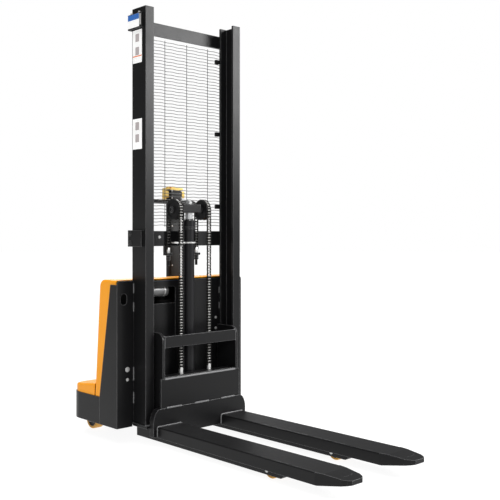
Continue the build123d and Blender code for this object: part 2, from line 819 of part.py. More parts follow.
def main():
    os.makedirs("parts", exist_ok=True)
    right, left = both_sides(mast_upright())
    save("mast_upright_right", right)
    save("mast_upright_left", left)
    save("mast_top_bar", mast_top_bar())
    save("mast_mid_bar", mast_mid_bar())
    save("rear_chain_anchors", *both_sides(rear_chain_anchor()))
    save("guard_mesh", guard_mesh())
    save("lift_barrel", lift_barrel())
    save("lift_gland", lift_gland())
    save("barrel_collar", barrel_collar())
    save("lift_ram", *lift_ram())
    save("crosshead", crosshead())
    save("pulley_axles", *both_sides(pulley_axle()))
    save("guide_rod", guide_rod())
    for make, name in ((chain_pulley, "chain_pulley"), (lift_chain, "lift_chain"), (fork, "fork"),
                       (side_panel, "side_panel")):
        right, left = both_sides(make())
        save(f"{name}_right", right)
        save(f"{name}_left", left)
    save("carriage_side_plates", *both_sides(carriage_side_plate()))
    save("carriage_crossbars", *carriage_crossbars())
    save("carriage_lower_plate", carriage_lower_plate())
    save("heel_plate", heel_plate())
    save("front_chain_anchors", *both_sides(front_chain_anchor()))
    for level, height in roller_heights.items():
        right, left = both_sides(guide_roller(height))
        save(f"{level}_roller_right", right)
        save(f"{level}_roller_left", left)
    save("base_frame", base_frame())
    axle = rod_x(leg_x - 59, leg_x + 59, load_wheel_y, load_wheel_radius, axle_radius)
    save("load_wheel_axles", *both_sides(axle))
    wheel = plain_wheel(leg_x, load_wheel_y, load_wheel_radius, load_wheel_width, axle_radius, 4)
    right, left = both_sides(wheel)
    save("load_wheel_right", right)
    save("load_wheel_left", left)
    save("bulkhead", bulkhead())
    save("base_skirt", base_skirt())
    save("main_cover", main_cover())
    save("drive_cover", drive_cover())
    save("estop_button", estop_button())
    save("key_switch", key_switch())
    save("steering_bearing", steering_bearing())
    save("drive_gearbox", drive_gearbox())
    save("drive_wheel", drive_wheel())
    save("drive_motor", drive_motor())
    save("steering_head", *steering_head())
    save("tiller_arm", tiller_arm())
    save("handle_loop", handle_loop())
    save("tiller_head", tiller_head())
    save("head_cap", head_cap())
    save("throttle_wings", throttle_wings())
    save("belly_button", belly_button())
    save("horn_button", horn_button())
    save("lift_rocker", lift_rocker())
    save("caster_fork", caster_fork())
    save("caster_wheel", plain_wheel(caster_x, caster_y + caster_trail, caster_wheel_radius, 50, 6, 5))
    save("battery_pack", *battery_pack())
    save("power_pack", *power_pack())
    save("controller", controller())
    save("lift_hose", lift_hose())
    save("panel_bolts", *panel_bolts())


main()
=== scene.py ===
import json
import math
import random
import bpy
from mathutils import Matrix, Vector


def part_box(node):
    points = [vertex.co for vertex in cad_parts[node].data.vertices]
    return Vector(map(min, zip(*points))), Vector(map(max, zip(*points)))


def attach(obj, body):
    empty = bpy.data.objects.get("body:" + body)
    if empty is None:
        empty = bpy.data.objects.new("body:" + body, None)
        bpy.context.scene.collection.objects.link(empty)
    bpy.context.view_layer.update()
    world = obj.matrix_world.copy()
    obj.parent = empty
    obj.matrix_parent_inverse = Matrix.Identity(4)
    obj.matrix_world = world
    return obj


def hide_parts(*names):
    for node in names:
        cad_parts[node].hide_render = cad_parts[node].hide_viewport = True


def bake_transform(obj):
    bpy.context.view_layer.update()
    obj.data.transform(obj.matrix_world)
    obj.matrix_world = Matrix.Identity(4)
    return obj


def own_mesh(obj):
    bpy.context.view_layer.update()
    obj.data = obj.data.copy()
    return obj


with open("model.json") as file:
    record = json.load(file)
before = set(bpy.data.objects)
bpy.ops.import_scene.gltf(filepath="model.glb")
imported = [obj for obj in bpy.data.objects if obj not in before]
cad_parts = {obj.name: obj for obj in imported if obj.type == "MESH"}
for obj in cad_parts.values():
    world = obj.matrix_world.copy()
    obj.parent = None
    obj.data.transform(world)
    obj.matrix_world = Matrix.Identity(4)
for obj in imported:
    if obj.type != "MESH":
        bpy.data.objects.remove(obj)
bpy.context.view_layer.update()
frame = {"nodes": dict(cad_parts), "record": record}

nodes = frame["nodes"]
random.seed(7)
mm = 0.001
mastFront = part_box("mast_upright_right")[0].y    # every place below counts y from the mast's front face


def spot(x, y, z):
    return Vector((x * mm, mastFront + y * mm, z * mm))


# shader kit: a Signal is one socket, and sums on it add Math nodes


class Signal:
    def __init__(self, finish, socket):
        self.finish = finish
        self.socket = socket

    def mathNode(self, operation, *others):
        return self.finish.add("ShaderNodeMath", {"operation": operation}, [self, *others])

    def __add__(self, other):
        return self.mathNode("ADD", other)

    __radd__ = __add__

    def __mul__(self, other):
        return self.mathNode("MULTIPLY", other)

    __rmul__ = __mul__

    def __sub__(self, other):
        return self.mathNode("SUBTRACT", other)

    def __rsub__(self, other):
        return self.finish.add("ShaderNodeMath", {"operation": "SUBTRACT"}, [other, self])

    def __truediv__(self, other):
        return self.mathNode("DIVIDE", other)

    def clear(self):
        return self.finish.add("ShaderNodeClamp", {}, {"Value": self})


class Finish:
    def __init__(self, name):
        self.material = bpy.data.materials.new(name)
        self.material.use_nodes = True
        self.tree = self.material.node_tree
        self.shader = self.tree.nodes["Principled BSDF"]

    def add(self, kind, settings=None, inputs=None, output=0):
        made = self.tree.nodes.new(kind)
        for key, value in (settings or {}).items():
            setattr(made, key, value)
        pairs = enumerate(inputs) if isinstance(inputs, list) else (inputs or {}).items()
        for key, value in pairs:
            if isinstance(value, Signal):
                self.tree.links.new(value.socket, made.inputs[key])
            else:
                made.inputs[key].default_value = value
        return Signal(self, made.outputs[output])

    def place(self):
        return self.add("ShaderNodeTexCoord", {}, {}, "Object")

    def noise(self, scale, detail=3, rough=0.55, vector=None):
        return self.add("ShaderNodeTexNoise", {"normalize": True},
                        {"Vector": vector or self.place(), "Scale": scale, "Detail": detail,
                         "Roughness": rough}, "Fac")

    def mixed(self, share, first, second):
        return self.add("ShaderNodeMix", {"data_type": "RGBA"}, {0: share, 6: first, 7: second}, 2)

    def bump(self, height, strength, distance, under=None):
        sockets = {"Height": height, "Strength": strength, "Distance": distance}
        if under:
            sockets["Normal"] = under
        return self.add("ShaderNodeBump", {}, sockets, "Normal")

    def softEdge(self, radius):
        return self.add("ShaderNodeBevel", {"samples": 6}, {"Radius": radius}, "Normal")

    def edgeMask(self, soft, start, full):    # 0 on flat faces, 1 where the softened normal turns away
        flat = self.add("ShaderNodeNewGeometry", {}, {}, "Normal")
        facing = self.add("ShaderNodeVectorMath", {"operation": "DOT_PRODUCT"}, [soft, flat], "Value")
        return ((1 - facing - start) / (full - start)).clear()

    def set(self, **values):
        for key, value in values.items():
            socket = self.shader.inputs[key.replace("_", " ")]
            if isinstance(value, Signal):
                self.tree.links.new(value.socket, socket)
            else:
                socket.default_value = value
        return self


def grey(level):
    return (level, level, level, 1)


def shaded(colour, share):
    return tuple(c * share for c in colour[:3]) + (1,)


# The light edge grey in this table is a painted highlight, laid along the coat's edges where rounded edges
# catch the lamps.
coat = {
    "colour": (0.0062, 0.0062, 0.0066, 1), "edgeHighlight": (0.21, 0.21, 0.214, 1), "roughness": 0.36,
    "peelScale": 900, "peel": 0.10, "edge": 3.2 * mm, "edgeStart": 0.01, "edgeFull": 0.12,
}


def powderCoat(name, colour=None, roughness=None):
    finish = Finish(name)
    soft = finish.softEdge(coat["edge"])
    edges = finish.edgeMask(soft, coat["edgeStart"], coat["edgeFull"])
    cloud = finish.noise(7, 4)
    fine = finish.noise(60, 3)
    base = colour or coat["colour"]
    tint = finish.mixed(cloud * 0.5, base, shaded(base, 1.5))
    # Painted highlight: the edge mask, broken up by fine noise, blends the coat towards the light edge grey.
    tint = finish.mixed((edges * (0.45 + fine * 0.6)).clear(), tint, coat["edgeHighlight"])
    level = roughness or coat["roughness"]
    peel = finish.noise(coat["peelScale"], 2, 0.5)
    return finish.set(
        Base_Color=tint, Roughness=(level - 0.06) + cloud * 0.12 + (fine - 0.5) * 0.06,
        Normal=finish.bump(peel, coat["peel"], 0.3 * mm, soft), Specular_IOR_Level=0.18,
    ).material


def mouldedYellow(name, low, high):
    finish = Finish(name)
    soft = finish.softEdge(2 * mm)
    cloud = finish.noise(5, 3)
    grain = finish.noise(1400, 2, 0.6)
    dust = finish.noise(28, 5, 0.7)
    tint = finish.mixed(cloud, low, high)
    tint = finish.mixed((dust - 0.62).clear() * 1.2, tint, shaded(low, 0.75))
    return finish.set(
        Base_Color=tint, Roughness=0.42 + cloud * 0.08 + (dust - 0.5) * 0.1,
        Normal=finish.bump(grain, 0.12, 0.2 * mm, soft), Specular_IOR_Level=0.25,
    ).material


def metal(name, colour, roughness, scratch=0.1, metallic=1.0, stretch=(1, 1, 1), dirt=0.0):
    finish = Finish(name)
    place = finish.add("ShaderNodeMapping", {}, {"Vector": finish.place(), "Scale": stretch}, "Vector")
    lines = finish.noise(260, 4, 0.6, place)
    cloud = finish.noise(22, 4)
    tint = finish.mixed(cloud, colour, shaded(colour, 0.78))
    if dirt:
        grime = finish.noise(85, 4, 0.7)
        tint = finish.mixed((grime * 1.6 - 0.55).clear() * dirt, tint, (0.012, 0.011, 0.010, 1))
    return finish.set(
        Base_Color=tint, Metallic=metallic, Roughness=roughness + (lines - 0.5) * 0.12 + cloud * 0.06,
        Normal=finish.bump(lines, scratch, 0.1 * mm),
    ).material


def plastic(name, colour, roughness=0.5, grainScale=1800, grain=0.15, shine=0.4):
    finish = Finish(name)
    soft = finish.softEdge(1.2 * mm)
    grit = finish.noise(grainScale, 2, 0.6)
    cloud = finish.noise(14, 4)
    tint = finish.mixed(cloud, colour, shaded(colour, 1.35))
    return finish.set(
        Base_Color=tint, Roughness=roughness + (cloud - 0.5) * 0.12,
        Normal=finish.bump(grit, grain, 0.15 * mm, soft), Specular_IOR_Level=shine,
    ).material


def amberUrethane():
    finish = Finish("amberUrethane")
    cloud = finish.noise(40, 4, 0.7)
    scuff = finish.noise(300, 3, 0.6)
    tint = finish.mixed(cloud, (0.50, 0.235, 0.018, 1), (0.68, 0.36, 0.04, 1))
    tint = finish.mixed((scuff - 0.6).clear() * 1.5, tint, (0.16, 0.09, 0.02, 1))
    finish.set(Base_Color=tint, Roughness=0.34 + scuff * 0.2, Normal=finish.bump(scuff, 0.2, 0.2 * mm))
    finish.shader.inputs["Subsurface Weight"].default_value = 0.15
    finish.shader.inputs["Subsurface Radius"].default_value = (0.006, 0.003, 0.001)
    return finish.material


materials = {
    "black": powderCoat("blackPowderCoat"),
    "cylinder": powderCoat("cylinderPaint", (0.010, 0.010, 0.011, 1), 0.34),
    "yellow": mouldedYellow("mouldedYellow", (0.93, 0.345, 0.010, 1), (0.98, 0.385, 0.014, 1)),
    "paleYellow": mouldedYellow("headYellow", (0.80, 0.56, 0.13, 1), (0.88, 0.64, 0.20, 1)),
    "chrome": metal("hardChrome", (0.88, 0.89, 0.90, 1), 0.12, 0.02, 0.6, (1, 1, 0.03)),
    "zinc": metal("zincPlate", (0.74, 0.74, 0.73, 1), 0.28, 0.12, 0.45, dirt=0.4),
    "ground": metal("groundSteel", (0.33, 0.33, 0.34, 1), 0.36, 0.15, 1.0, dirt=0.6),
    # The dark chain steel is the plates' own oiled colour, and it is also laid on the rear strands' rollers
    # as painted shade.
    "chainSteel": metal("oiledChainAndRearShade", (0.030, 0.029, 0.027, 1), 0.34, 0.1, 0.6, dirt=0.8),
    "chainRoller": metal("polishedRoller", (0.24, 0.235, 0.225, 1), 0.28, 0.08, 0.35, dirt=0.3),
    "iron": plastic("castIronPaint", (0.006, 0.006, 0.0065, 1), 0.48, 500, 0.3, 0.25),
    "amber": amberUrethane(),
    "tiller": plastic("tillerPlastic", (0.0065, 0.0065, 0.0062, 1), 0.5, shine=0.25),
    "red": plastic("redPlastic", (0.55, 0.012, 0.008, 1), 0.28, 2200, 0.05),
    "battery": plastic("batteryCase", (0.03, 0.03, 0.032, 1), 0.5),
    "pack": plastic("packPaint", (0.006, 0.006, 0.006, 1), 0.6, shine=0.1),
    "canister": metal("canisterPaint", (0.15, 0.15, 0.15, 1), 0.35, 0.1, 0.2),
    "hose": plastic("hoseRubber", (0.012, 0.012, 0.012, 1), 0.6, 700, 0.3),
    "wire": powderCoat("guardWireCoat", (0.03, 0.03, 0.03, 1), 0.4),
    # The weld grey is a painted highlight: the beads are coated black like the frame, and the lighter grey
    # stands in for light caught on their ripples.
    "weldHighlight": powderCoat("weldHighlightCoat", (0.17, 0.17, 0.173, 1), 0.26),
    "blackPlastic": plastic("blackPlastic", (0.007, 0.007, 0.007, 1), 0.5, shine=0.2),
    "labelWhite": plastic("labelWhite", (0.93, 0.93, 0.92, 1), 0.35, 600, 0.05),
    "labelGrey": plastic("labelGrey", (0.42, 0.38, 0.38, 1), 0.35, 600, 0.05),
    "labelOrange": plastic("labelOrange", (0.75, 0.16, 0.02, 1), 0.35, 600, 0.05),
    "labelBlue": plastic("labelBlue", (0.03, 0.13, 0.42, 1), 0.35, 600, 0.05),
    "screen": plastic("screenGlass", (0.01, 0.014, 0.012, 1), 0.08, 400, 0.01),
    "lampGreen": plastic("lampGreen", (0.05, 0.45, 0.08, 1), 0.2, 600, 0.05),
}
slotLooks = {
    "black_steel": "black", "dark_cylinder": "cylinder", "chrome_rod": "chrome", "zinc_steel": "zinc",
    "bearing_steel": "ground", "chain_steel": "chainSteel", "cast_iron": "iron", "yellow_cover": "yellow",
    "amber_polyurethane": "amber", "tiller_plastic": "tiller", "red_plastic": "red",
    "battery_case": "battery", "pack_metal": "pack", "hose_rubber": "hose",
}
headNodes = ("head_cap", "throttle_wings", "belly_button")
for part in frame["record"]["subparts"]:
    body = nodes[part["node"]]
    look = "paleYellow" if part["node"] in headNodes else slotLooks[part["material_slot"]]
    body.data.materials.clear()
    body.data.materials.append(materials[look])
print("frame finished in", len(slotLooks), "materials")


# modelling helpers: pieces are shaped with edit-mode tools, and end up at the origin with applied transforms


def onlySelected(*chosen):
    bpy.ops.object.select_all(action="DESELECT")
    for piece in chosen:
        piece.select_set(True)
    bpy.context.view_layer.objects.active = chosen[0]


def applied(piece):
    onlySelected(piece)
    bpy.ops.object.transform_apply(location=True, rotation=True, scale=True)
    return piece


def editing(piece):
    onlySelected(piece)
    bpy.ops.object.mode_set(mode="EDIT")
    bpy.ops.mesh.select_mode(type="VERT")


def done():
    bpy.ops.object.mode_set(mode="OBJECT")


def pickFaces(piece, test):
    editing(piece)
    bpy.ops.mesh.select_mode(type="FACE")
    bpy.ops.mesh.select_all(action="DESELECT")
    done()
    for face in piece.data.polygons:
        face.select = test(face.center, face.normal)
    bpy.ops.object.mode_set(mode="EDIT")


def joined(*parts):
    if len(parts) > 1:
        onlySelected(*parts)
        bpy.ops.object.join()
    return parts[0]


def copies(piece, offsets):
    made = [piece]
    for offset in offsets:
        twin = piece.copy()
        twin.data = piece.data.copy()
        for corner in twin.data.vertices:
            corner.co += Vector(offset) * mm
        bpy.context.collection.objects.link(twin)
        made.append(twin)
    return made


def mirroredTwin(piece):
    twin = piece.copy()
    twin.data = piece.data.copy()
    bpy.context.collection.objects.link(twin)
    for corner in twin.data.vertices:
        corner.co.x = -corner.co.x
    editing(twin)
    bpy.ops.mesh.select_all(action="SELECT")
    bpy.ops.mesh.normals_make_consistent(inside=False)
    done()
    return twin


def bothSides(piece):
    return joined(piece, mirroredTwin(piece))


def finished(piece, name, look, body=None, smooth=35, replaced=()):
    applied(piece)
    bpy.ops.object.shade_smooth_by_angle(angle=math.radians(smooth))
    piece.name = name
    piece.data.name = name
    piece.data.materials.clear()
    piece.data.materials.append(materials[look])
    if body:
        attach(piece, body)
    if replaced:
        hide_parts(*replaced)
    return piece


def softBox(x, y, z, edge=1.0, rounds=2):
    middle = spot(sum(x) / 2, sum(y) / 2, sum(z) / 2)
    bpy.ops.mesh.primitive_cube_add(size=1, location=middle)
    piece = bpy.context.object
    piece.scale = [abs(high - low) * mm for low, high in (x, y, z)]
    applied(piece)
    editing(piece)
    bpy.ops.mesh.select_all(action="SELECT")
    bpy.ops.mesh.bevel(offset=edge * mm, segments=rounds, affect="EDGES", clamp_overlap=True)
    done()
    return piece


axisTurn = {"X": Vector((1, 0, 0)), "Y": Vector((0, 1, 0)), "Z": Vector((0, 0, 1))}
axisOut = {"X": Vector((0, 1, 0)), "Y": Vector((1, 0, 0)), "Z": Vector((1, 0, 0))}


def turned(profile, centre, axis="X", steps=32, flip=False):
    along, out = axisTurn[axis] * (-1 if flip else 1), axisOut[axis]
    middle = spot(*centre)
    points = [middle + out * radius * mm + along * place * mm for radius, place in profile]
    bpy.ops.mesh.primitive_plane_add(size=0.001, location=points[0])
    piece = applied(bpy.context.object)
    editing(piece)
    bpy.ops.mesh.select_all(action="SELECT")
    bpy.ops.mesh.merge(type="CENTER")
    for before, after in zip(points, points[1:]):
        bpy.ops.mesh.extrude_vertices_move(TRANSFORM_OT_translate={"value": after - before})
    bpy.ops.mesh.select_all(action="SELECT")
    bpy.ops.mesh.spin(steps=steps, angle=math.tau, center=middle, axis=axisTurn[axis])
    bpy.ops.mesh.select_all(action="SELECT")
    bpy.ops.mesh.remove_doubles(threshold=0.00002)
    bpy.ops.mesh.normals_make_consistent(inside=False)
    done()
    return piece


def hexBolt(centre, axis="Y", across=13, height=7, sign=-1, washer=1.3, reach=1.05):
    middle = spot(*centre)
    outward = axisTurn[axis] * sign
    bpy.ops.mesh.primitive_cylinder_add(vertices=6, radius=across / math.sqrt(3) * mm, depth=height * mm)
    head = bpy.context.object
    head.rotation_euler = outward.to_track_quat("Z", "Y").to_euler()
    head.location = middle + outward * ((washer + height / 2) * mm)
    applied(head)
    pickFaces(head, lambda place, normal: normal.dot(outward) > 0.9)
    bpy.ops.mesh.inset(thickness=across * 0.09 * mm)
    bpy.ops.transform.translate(value=outward * (0.10 * height * mm))
    bpy.ops.mesh.inset(thickness=across * 0.22 * mm)
    bpy.ops.transform.translate(value=outward * (-0.05 * height * mm))
    done()
    outer = across * reach
    ring = turned([(across * 0.5, 0), (outer, 0), (outer, washer * 0.7), (outer - 0.5, washer),
                   (across * 0.4, washer)], centre, axis, 24, sign < 0)
    return joined(head, ring)


def capScrew(centre, axis="Y", radius=5, height=5, sign=-1):
    profile = [(0, 0), (radius, 0), (radius, height * 0.75), (radius * 0.8, height), (radius * 0.52, height),
               (radius * 0.46, height * 0.35), (0, height * 0.35)]
    return turned(profile, centre, axis, 20, sign < 0)


# backrest guard: crimped round wires, welded where they cross, clipped to the mast


guardSetup = {
    "half": 283, "wire": 1.5, "rimWire": 3.0, "firstRow": 1044, "pitch": 16, "rows": 58, "y": 113.5,
    "low": 1036, "high": 1964, "crimp": 1.1, "crimpLength": 70, "steps": 40,
    "uprights": (-240, -100, 40, 180), "uprightBack": 2.6, "uprightCrimp": 0.5, "uprightCrimpLength": 32,
    "uprightSteps": 58, "rims": (-280, 280), "rimBack": 4, "rimSteps": 4,
    "knot": 2.7, "knotShape": (1.15, 0.9, 0.8), "knotBack": 1.2,
    "clipRows": (1905, 1524, 1143), "clipX": (229, 254), "clipY": (104, 118), "clipHalf": 11,
    "clipScrewX": 241,
}


def crimpedWire(start, step, steps, radius, swing, swingLength):
    origin = spot(*start)
    direction = Vector(step).normalized()
    bpy.ops.mesh.primitive_circle_add(vertices=6, radius=radius * mm, fill_type="NGON", location=origin,
                                      rotation=direction.to_track_quat("Z", "Y").to_euler())
    wire = applied(bpy.context.object)
    editing(wire)
    bpy.ops.mesh.select_all(action="SELECT")
    length = Vector(step).length
    for index in range(steps):
        waves = [swing * math.sin(math.tau * (index + part) * length / swingLength) for part in (0, 1)]
        shift = Vector(step) + Vector((0, 0, waves[1] - waves[0])) * abs(direction.x)
        shift += Vector((waves[1] - waves[0], 0, 0)) * abs(direction.z)
        bpy.ops.mesh.extrude_region_move(TRANSFORM_OT_translate={"value": shift * mm})
    bpy.ops.mesh.select_all(action="SELECT")
    bpy.ops.mesh.normals_make_consistent(inside=False)
    done()
    return wire


def backGuard():
    g = guardSetup
    rowStep = (2 * g["half"] / g["steps"], 0, 0)
    row = crimpedWire((-g["half"], g["y"], g["firstRow"]), rowStep, g["steps"], g["wire"], g["crimp"],
                      g["crimpLength"])
    parts = copies(row, [(0, 0, g["pitch"] * index) for index in range(1, g["rows"])])
    tall = g["high"] - g["low"]
    for x in g["uprights"]:
        parts.append(crimpedWire((x, g["y"] + g["uprightBack"], g["low"]), (0, 0, tall / g["uprightSteps"]),
                                 g["uprightSteps"], g["wire"], g["uprightCrimp"], g["uprightCrimpLength"]))
    for x in g["rims"]:
        parts.append(crimpedWire((x, g["y"] + g["rimBack"], g["low"]), (0, 0, tall / g["rimSteps"]),
                                 g["rimSteps"], g["rimWire"], 0, 100))
    bpy.ops.mesh.primitive_uv_sphere_add(segments=6, ring_count=4, radius=g["knot"] * mm)
    knot = bpy.context.object
    knot.scale = g["knotShape"]
    knot.location = spot(g["uprights"][0], g["y"] + g["knotBack"], g["firstRow"])
    applied(knot)
    crossings = [(x - g["uprights"][0], 0, g["pitch"] * index)
                 for x in g["uprights"] + g["rims"] for index in range(g["rows"])]
    parts += copies(knot, crossings[1:])
    finished(joined(*parts), "guardWires", "wire", "chassis", 60, ["guard_mesh"])
    clips = []
    inner, outer = g["clipX"]
    for z in g["clipRows"]:
        for side in (-1, 1):
            clips.append(softBox((side * inner, side * outer), g["clipY"],
                                 (z - g["clipHalf"], z + g["clipHalf"]), 2.5, 3))
            clips.append(capScrew((side * g["clipScrewX"], g["clipY"][0], z), "Y", 4.5, 4, -1))
    finished(joined(*clips), "guardClips", "blackPlastic", "chassis")
    print("guard made:", g["rows"], "rows")


# lift chains: side plates on pins with bright rollers between, straight runs and the wrap on each pulley


chainSetup = {
    "x": 90, "pitch": 13.84, "plateHalf": 5.6, "plate": 1.0, "pin": 2.4, "pinHalf": 10.9,
    "outer": 10.2, "inner": 9.1, "roller": 3.7, "rollerHalf": 8.5,
    "frontY": 0, "rearY": 100, "frontLow": 345, "rearLow": 932, "axle": (50, 1120), "radius": 50.15,
    "raisedShare": 0.03, "smooth": 40,
}


def chainPlate(x, y, z):
    c = chainSetup
    bpy.ops.mesh.primitive_cylinder_add(vertices=12, radius=c["plateHalf"] * mm, depth=c["plate"] * mm,
                                        location=spot(x, y, z), rotation=(0, math.pi / 2, 0))
    plate = applied(bpy.context.object)
    middle = spot(x, y, z)
    for corner in plate.data.vertices:
        if corner.co.z > middle.z + 0.1 * mm:
            corner.co.z += c["pitch"] * mm
    return plate


def chainPlates(side, y, z):
    c = chainSetup
    plates = []
    for layer, low in ((c["outer"], z), (c["inner"], z + c["pitch"])):
        for face in (-1, 1):
            plates.append(chainPlate(side * c["x"] + face * layer, y, low))
    return joined(*plates)


def chainRollers(side, y, z):
    c = chainSetup
    pin, half, tall = c["pin"], c["pinHalf"], c["rollerHalf"]
    profile = [(0, -half), (pin - 0.5, -half), (pin, -half + 0.5), (pin, -tall - 0.1), (c["roller"], -tall),
               (c["roller"], tall), (pin, tall + 0.1), (pin, half - 0.5), (pin - 0.5, half), (0, half)]
    first = turned(profile, (side * c["x"], y, z), "X", 12)
    return joined(*copies(first, [(0, 0, c["pitch"])]))


def wrapped(pieces, turn):    # bends each copy round the pulley axle, one link pair further on than the last
    c = chainSetup
    centreY, centreZ = mastFront + c["axle"][0] * mm, c["axle"][1] * mm
    for index, piece in enumerate(pieces):
        for corner in piece.data.vertices:
            out = centreY - corner.co.y
            bend = turn * index + (corner.co.z - centreZ) / (c["radius"] * mm)
            corner.co.y = centreY - out * math.cos(bend)
            corner.co.z = centreZ + out * math.sin(bend)
    return joined(*pieces)


def liftChains():
    c = chainSetup
    pair = 2 * c["pitch"]
    axleZ = c["axle"][1]
    steps = round((axleZ - c["frontLow"]) / pair)
    rearSteps = int((axleZ - c["rearLow"]) / pair) + 1
    turn = pair / c["radius"]
    for side, word in ((-1, "Right"), (1, "Left")):
        node = "lift_chain_" + word.lower()
        for made, kind, look in ((chainPlates, "Plates", "chainSteel"),
                                 (chainRollers, "Rollers", "chainRoller")):
            first = made(side, c["frontY"], c["frontLow"])
            rearFirst = made(side, c["rearY"], axleZ - rearSteps * pair)
            wrapFirst = made(side, c["frontY"], axleZ)
            front = joined(*copies(first, [(0, 0, pair * index) for index in range(1, steps)]))
            finished(front, "chainFront" + kind + word, look, "carriage", c["smooth"], [node])
            spot(side * c["x"], 0, c["frontLow"])
            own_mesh(front)
            rear = joined(*copies(rearFirst, [(0, 0, pair * index) for index in range(1, rearSteps)]))
            # The rear strands take the dark plate steel for their rollers too, instead of the bright roller
            # steel: painted shade for the strands behind the mast.
            finished(rear, "chainRear" + kind + word, "chainSteel", None, c["smooth"], [node])
            spot(0, c["rearY"], c["rearLow"])
            spot(0, c["rearY"], axleZ)
            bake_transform(rear)
            wraps = copies(wrapFirst, [(0, 0, 0)] * (round(math.pi / turn) - 1))
            finished(wrapped(wraps, turn), "chainWrap" + kind + word, look, "crosshead", c["smooth"], [node])
    print("chains made:", steps, "link pairs in front of each pulley")


# wheels: moulded tread over a turned steel hub with a bearing


wheelSetup = {
    "load_wheel_right": {"body": "wheel_right", "x": -200, "y": -764, "radius": 40, "width": 70,
                         "bore": 10.2},
    "load_wheel_left": {"body": "wheel_left", "x": 200, "y": -764, "radius": 40, "width": 70,
                        "bore": 10.2},
    "caster_wheel": {"body": "caster_roll", "x": -275, "y": 472.5, "radius": 50, "width": 50, "bore": 6.2},
    "drive_wheel": {"body": "drive_roll", "x": 170, "y": 390, "radius": 90, "width": 75, "bore": 15.2},
}
treadSetup = {"hubShare": 0.74, "edge": [(5, 0), (2.2, 1.2), (0.5, 4), (0, 8)]}    # drop below rim, depth


def sameBothFaces(half, face):    # the outline of a ring whose two faces are alike, closed on its first point
    near = [(radius, depth - half) for radius, depth in face]
    far = [(radius, half - depth) for radius, depth in reversed(face)]
    return near + far + near[:1]


def wheels():
    for node, w in wheelSetup.items():
        half, radius, bore = w["width"] / 2, w["radius"], w["bore"]
        hub = radius * treadSetup["hubShare"]
        centre = (w["x"], w["y"], radius)
        face = [(hub, 1.5)] + [(radius - drop, depth) for drop, depth in treadSetup["edge"]]
        finished(turned(sameBothFaces(half, face), centre, "X", 56), node + "Tread", "amber", w["body"], 35,
                 [node])
        face = [(bore, 2), (bore + 4, 2), (bore + 5, 5), (hub - 7, 5), (hub - 5, 2), (hub - 0.2, 2)]
        finished(turned(sameBothFaces(half, face), centre, "X", 48), node + "Hub", "iron", w["body"], 35, ())
    print("wheels made:", len(wheelSetup))


# bolts on the panels, the crossbars and the top bracket


boltSetup = {
    "panel": [(-340, 96, 353, 12), (-340, 96, 305, 8), (-141, 108, 985, 7), (230, 108, 563, 7),
              (230, 108, 507, 7)],
    "cheekX": -315, "cheekY": 112, "cheekZ": (956, 1001),
    "bracketX": -309, "bracketY": (42, 106), "bracketTop": 2052,
}


def frameBolts():
    b = boltSetup
    panel = [hexBolt(place, "Y", across, 5, -1) for *place, across in b["panel"]]
    finished(joined(*panel), "panelBoltHeads", "zinc", "chassis", 35, ["panel_bolts"])
    cheek = [hexBolt((b["cheekX"], b["cheekY"], z), "X", 13, 5, -1) for z in b["cheekZ"]]
    finished(bothSides(joined(*cheek)), "crossbarBolts", "black", "chassis")
    bracket = [hexBolt((b["bracketX"], y, b["bracketTop"]), "Z", 10, 6, 1, 1, 0.6) for y in b["bracketY"]]
    finished(bothSides(joined(*bracket)), "bracketBolts", "zinc", "chassis")
    print("frame bolted")


# lift cylinder's screws, wiper and bands, and the bolts on the pulley axle


cylinderSetup = {
    "y": 50, "glandTop": 1068, "screws": 6, "screwRing": 25, "bands": (1024, 160), "barrel": 28.4,
    "axleEnd": 110, "axleZ": 1120,
}


def liftCylinder():
    c = cylinderSetup
    screws = []
    for index in range(c["screws"]):
        turn = math.tau * index / c["screws"]
        x, y = c["screwRing"] * math.cos(turn), c["y"] + c["screwRing"] * math.sin(turn)
        screws.append(capScrew((x, y, c["glandTop"]), "Z", 3.2, 3, 1))
    finished(joined(*screws), "glandScrews", "zinc", "chassis")
    lip = [(18.3, 0), (24, 0), (24, 2), (21, 5), (18.6, 6), (18.3, 0)]
    finished(turned(lip, (0, c["y"], c["glandTop"]), "Z", 40), "rodWiper", "blackPlastic", "chassis")
    ring = [(c["barrel"], 0), (31, 0), (31, 6), (c["barrel"], 6), (c["barrel"], 0)]
    bands = [turned(ring, (0, c["y"], z), "Z", 40) for z in c["bands"]]
    finished(joined(*bands), "barrelBands", "cylinder", "chassis")
    ends = [hexBolt((side * c["axleEnd"], c["y"], c["axleZ"]), "X", 17, 5, side, 1.5, 0.8)
            for side in (-1, 1)]
    finished(joined(*ends), "pulleyAxleBolts", "black", "crosshead")
    print("lift cylinder detailed")


# chain anchors at the mast: an eye above each lug, a threaded shank and two nuts below it


anchorSetup = {"x": 90, "y": 100, "eyeHalf": 8, "eyeDeep": 5.5, "eye": (905.1, 932), "pinZ": 922,
               "shankLow": 841, "shankTall": 64, "nuts": (892.9, 881)}


def rearAnchors():
    a = anchorSetup
    eyes, hangers = [], []
    for side in (-1, 1):
        x, y = side * a["x"], a["y"]
        eyes.append(softBox((x - a["eyeHalf"], x + a["eyeHalf"]), (y - a["eyeDeep"], y + a["eyeDeep"]),
                            a["eye"], 1.5, 2))
        eyes.append(capScrew((x + side * a["eyeHalf"], y, a["pinZ"]), "X", 4, 2, side))
        shank = [(0, 0), (7, 1), (7, a["shankTall"]), (0, a["shankTall"])]
        hangers.append(turned(shank, (x, y, a["shankLow"]), "Z", 20))
        hangers += [hexBolt((x, y, z), "Z", 21, 9, -1, 1.3, 0.58) for z in a["nuts"]]
    finished(joined(*eyes), "rearChainEyes", "zinc", "chassis", 35, ["rear_chain_anchors"])
    finished(joined(*hangers), "rearChainHangers", "black", "chassis", 35, ["rear_chain_anchors"])
    print("rear chain anchors made")


# bright shields on the guide rollers' outer faces


shieldSetup = {"x": 286, "y": 54, "levels": {"Lower": 150, "Upper": 470}, "bore": 16, "radius": 36}


